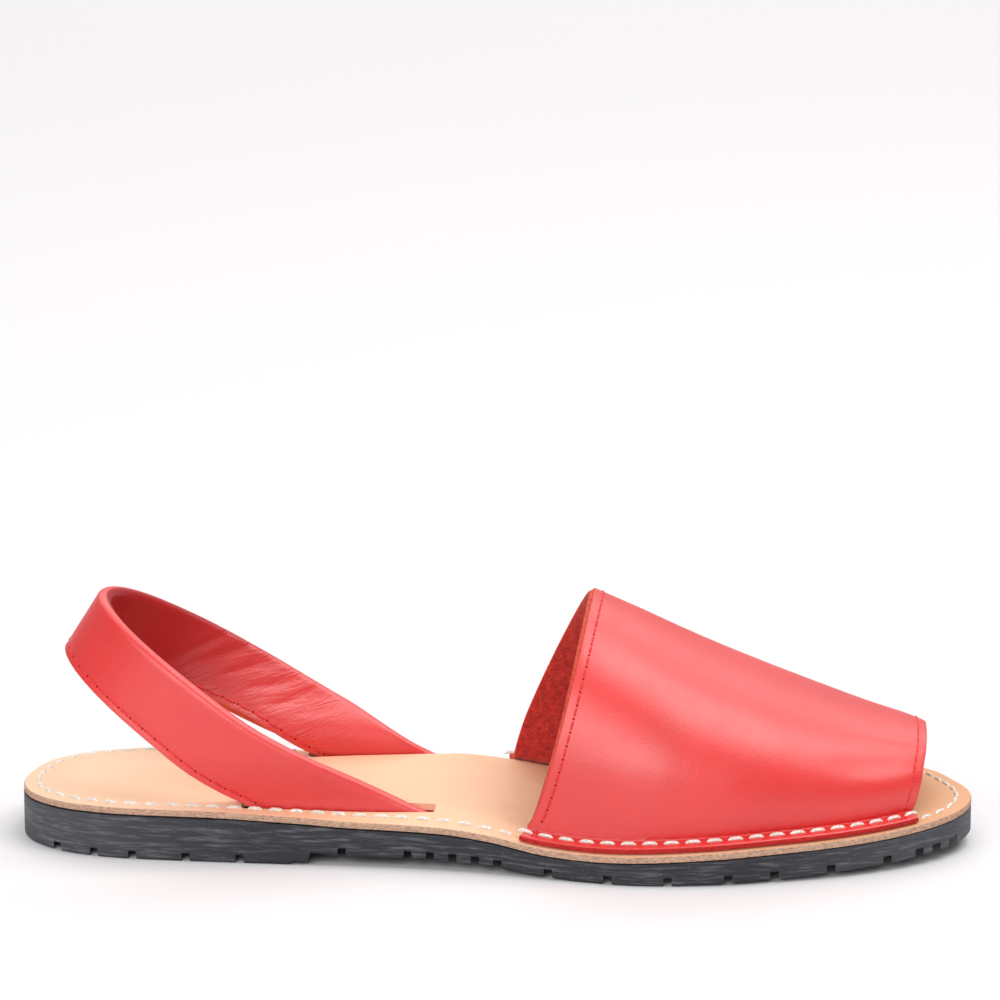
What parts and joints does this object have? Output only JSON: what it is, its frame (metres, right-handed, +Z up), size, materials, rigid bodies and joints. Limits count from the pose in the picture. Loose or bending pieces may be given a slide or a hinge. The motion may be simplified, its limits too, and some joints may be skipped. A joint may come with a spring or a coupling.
{
  "type": "sandal",
  "caption": "Flat leather sandal with a moulded rubber sole, tan footbed, open-toed red vamp and a folded red heel strap.",
  "frame": {"origin": "on the floor under the middle of the sandal", "axes": "+X to the toe, +Z up, the wearer's outer side at -Y"},
  "size_m": [0.256, 0.0956, 0.0661],
  "materials": {
    "rubber": "matt moulded rubber",
    "tan_leather": "natural vegetable-tanned leather",
    "red_leather": "smooth red leather with a soft sheen"
  },
  "bodies": {
    "root": {"outsole": "rubber", "insole": "tan_leather", "vamp": "red_leather", "heel_strap": "red_leather"}
  },
  "joints": []
}
